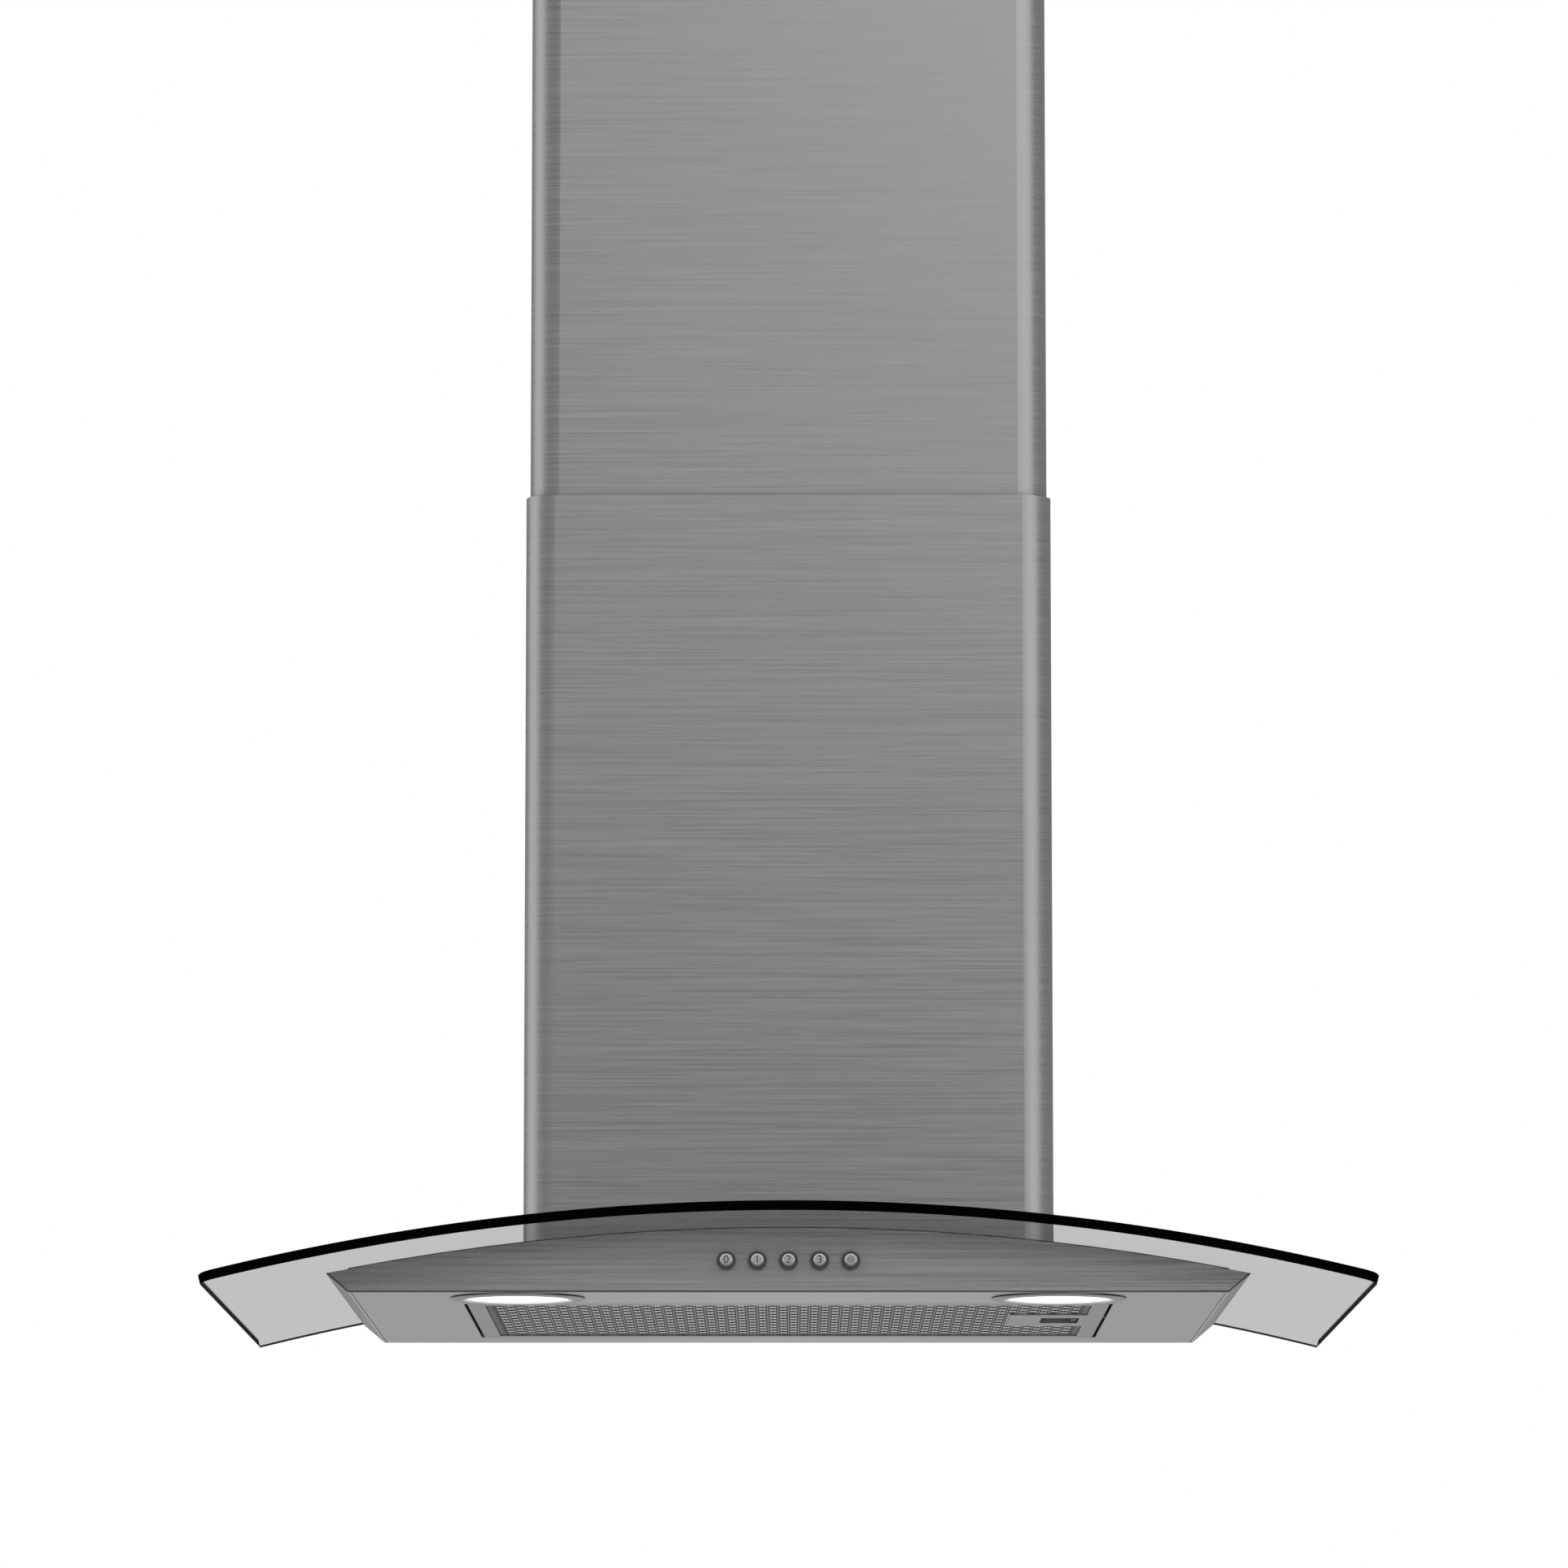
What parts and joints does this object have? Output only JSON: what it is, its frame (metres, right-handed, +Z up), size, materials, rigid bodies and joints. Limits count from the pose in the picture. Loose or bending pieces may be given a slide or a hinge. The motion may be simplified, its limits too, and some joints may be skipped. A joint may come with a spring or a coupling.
{
  "type": "range hood",
  "caption": "Wall mount range hood with a curved smoked glass canopy, telescoping steel chimney covers, push buttons, lamps, a swing-down grease filter and a blower inside.",
  "frame": {"origin": "On the wall plane, at mid-width, level with the underside of the hood body.", "axes": "+X to the right seen from the front, +Y into the wall, +Z up."},
  "size_m": [0.6, 0.5, 0.7531],
  "materials": {
    "body_steel": "fascia, flanks and deck, fine brushing along the width",
    "panel_steel": "underside panel, fine brushing along the width",
    "cover_steel": "chimney covers, fine brushing along the width",
    "smoked_glass": "toughened smoked glass with dark ground edges",
    "black_rubber": "soft black rubber",
    "screw_steel": "plated screws and pins",
    "zinc_sheet": "zinc coated sheet",
    "grey_plastic": "moulded fan housing",
    "wheel_plastic": "moulded fan wheel",
    "shaft_steel": "ground shaft",
    "nut_brass": "turned nut",
    "motor_aluminium": "die cast motor shell",
    "black_plastic": "moulded black plastic",
    "flap_plastic": "moulded flaps",
    "capacitor_plastic": "smooth capacitor case",
    "bezel_chrome": "polished rings",
    "button_steel": "satin chromed button caps",
    "lamp_trim": "spun lamp trim",
    "lit_lens": "frosted lamp lens, lit",
    "lamp_aluminium": "pressed lamp can",
    "filter_aluminium": "satin filter frame and sheets",
    "mesh_aluminium": "expanded mesh",
    "handle_aluminium": "satin handle plate",
    "latch_plastic": "grey plastic latch"
  },
  "bodies": {
    "hood": {"hood_shell": "body_steel", "bottom_panel": "panel_steel", "glass_canopy": "smoked_glass", "glass_tape": "black_rubber", "glass_screws": "screw_steel", "glass_washers": "black_rubber", "glass_clamps": "zinc_sheet", "lower_chimney": "cover_steel", "lower_chimney_tabs": "zinc_sheet", "lower_chimney_screws": "screw_steel", "airbox": "zinc_sheet", "airbox_screws": "screw_steel", "wall_rail": "zinc_sheet", "blower_scroll": "grey_plastic", "motor": "motor_aluminium", "motor_bracket": "zinc_sheet", "outlet_collar": "black_plastic", "terminal_box": "black_plastic", "capacitor": "capacitor_plastic", "cable_gland": "black_rubber", "switch_bank": "black_plastic", "switch_bracket": "zinc_sheet", "button_bezels": "bezel_chrome", "lamp_bezel_left": "lamp_trim", "lamp_bezel_right": "lamp_trim", "lamp_lens_left": "lit_lens", "lamp_lens_right": "lit_lens", "lamp_can_left": "lamp_aluminium", "lamp_can_right": "lamp_aluminium", "filter_keeper": "zinc_sheet", "filter_pivots": "zinc_sheet"},
    "fan": {"fan_wheel_left": "wheel_plastic", "fan_wheel_right": "wheel_plastic", "fan_hub": "wheel_plastic", "fan_shaft": "shaft_steel", "fan_nut": "nut_brass"},
    "flap_front": {"flap_front": "flap_plastic"},
    "flap_rear": {"flap_rear": "flap_plastic"},
    "upper_cover": {"upper_chimney": "cover_steel", "upper_wall_bracket": "zinc_sheet", "upper_chimney_screws": "screw_steel"},
    "grease_filter": {"filter_frame": "filter_aluminium", "filter_face": "filter_aluminium", "filter_mesh": "mesh_aluminium", "filter_back": "filter_aluminium", "filter_handle": "handle_aluminium", "filter_pins": "screw_steel"},
    "latch": {"filter_latch": "latch_plastic"},
    "button_0": {"button_0": "button_steel"},
    "button_1": {"button_1": "button_steel"},
    "button_2": {"button_2": "button_steel"},
    "button_3": {"button_3": "button_steel"},
    "button_light": {"button_light": "button_steel"}
  },
  "joints": [
    {"name": "fan_spin", "type": "hinge", "parent": "hood", "child": "fan", "pos_m": [0, -0.116, 0.15], "axis": [1, 0, 0], "continuous": true},
    {"name": "flap_front_swing", "type": "hinge", "parent": "hood", "child": "flap_front", "pos_m": [0, -0.1655, 0.312], "axis": [-1, 0, 0], "range_deg": [0, 75]},
    {"name": "flap_rear_swing", "type": "hinge", "parent": "hood", "child": "flap_rear", "pos_m": [0, -0.1605, 0.312], "axis": [1, 0, 0], "range_deg": [0, 75]},
    {"name": "upper_cover_slide", "type": "slide", "parent": "hood", "child": "upper_cover", "axis": [0, 0, 1], "range_m": [-0.275, 0.05]},
    {"name": "filter_swing", "type": "hinge", "parent": "hood", "child": "grease_filter", "pos_m": [-0.1688, -0.1765, 0.0022], "axis": [0, 1, 0], "range_deg": [0, 90]},
    {"name": "latch_slide", "type": "slide", "parent": "grease_filter", "child": "latch", "axis": [1, 0, 0], "range_m": [-0.006, 0], "stiffness_N_per_m": 200},
    {"name": "button_0_press", "type": "slide", "parent": "hood", "child": "button_0", "axis": [0, 1, 0], "range_m": [0, 0.0025], "stiffness_N_per_m": 500},
    {"name": "button_1_press", "type": "slide", "parent": "hood", "child": "button_1", "axis": [0, 1, 0], "range_m": [0, 0.0025], "stiffness_N_per_m": 500},
    {"name": "button_2_press", "type": "slide", "parent": "hood", "child": "button_2", "axis": [0, 1, 0], "range_m": [0, 0.0025], "stiffness_N_per_m": 500},
    {"name": "button_3_press", "type": "slide", "parent": "hood", "child": "button_3", "axis": [0, 1, 0], "range_m": [0, 0.0025], "stiffness_N_per_m": 500},
    {"name": "button_light_press", "type": "slide", "parent": "hood", "child": "button_light", "axis": [0, 1, 0], "range_m": [0, 0.0025], "stiffness_N_per_m": 500}
  ]
}
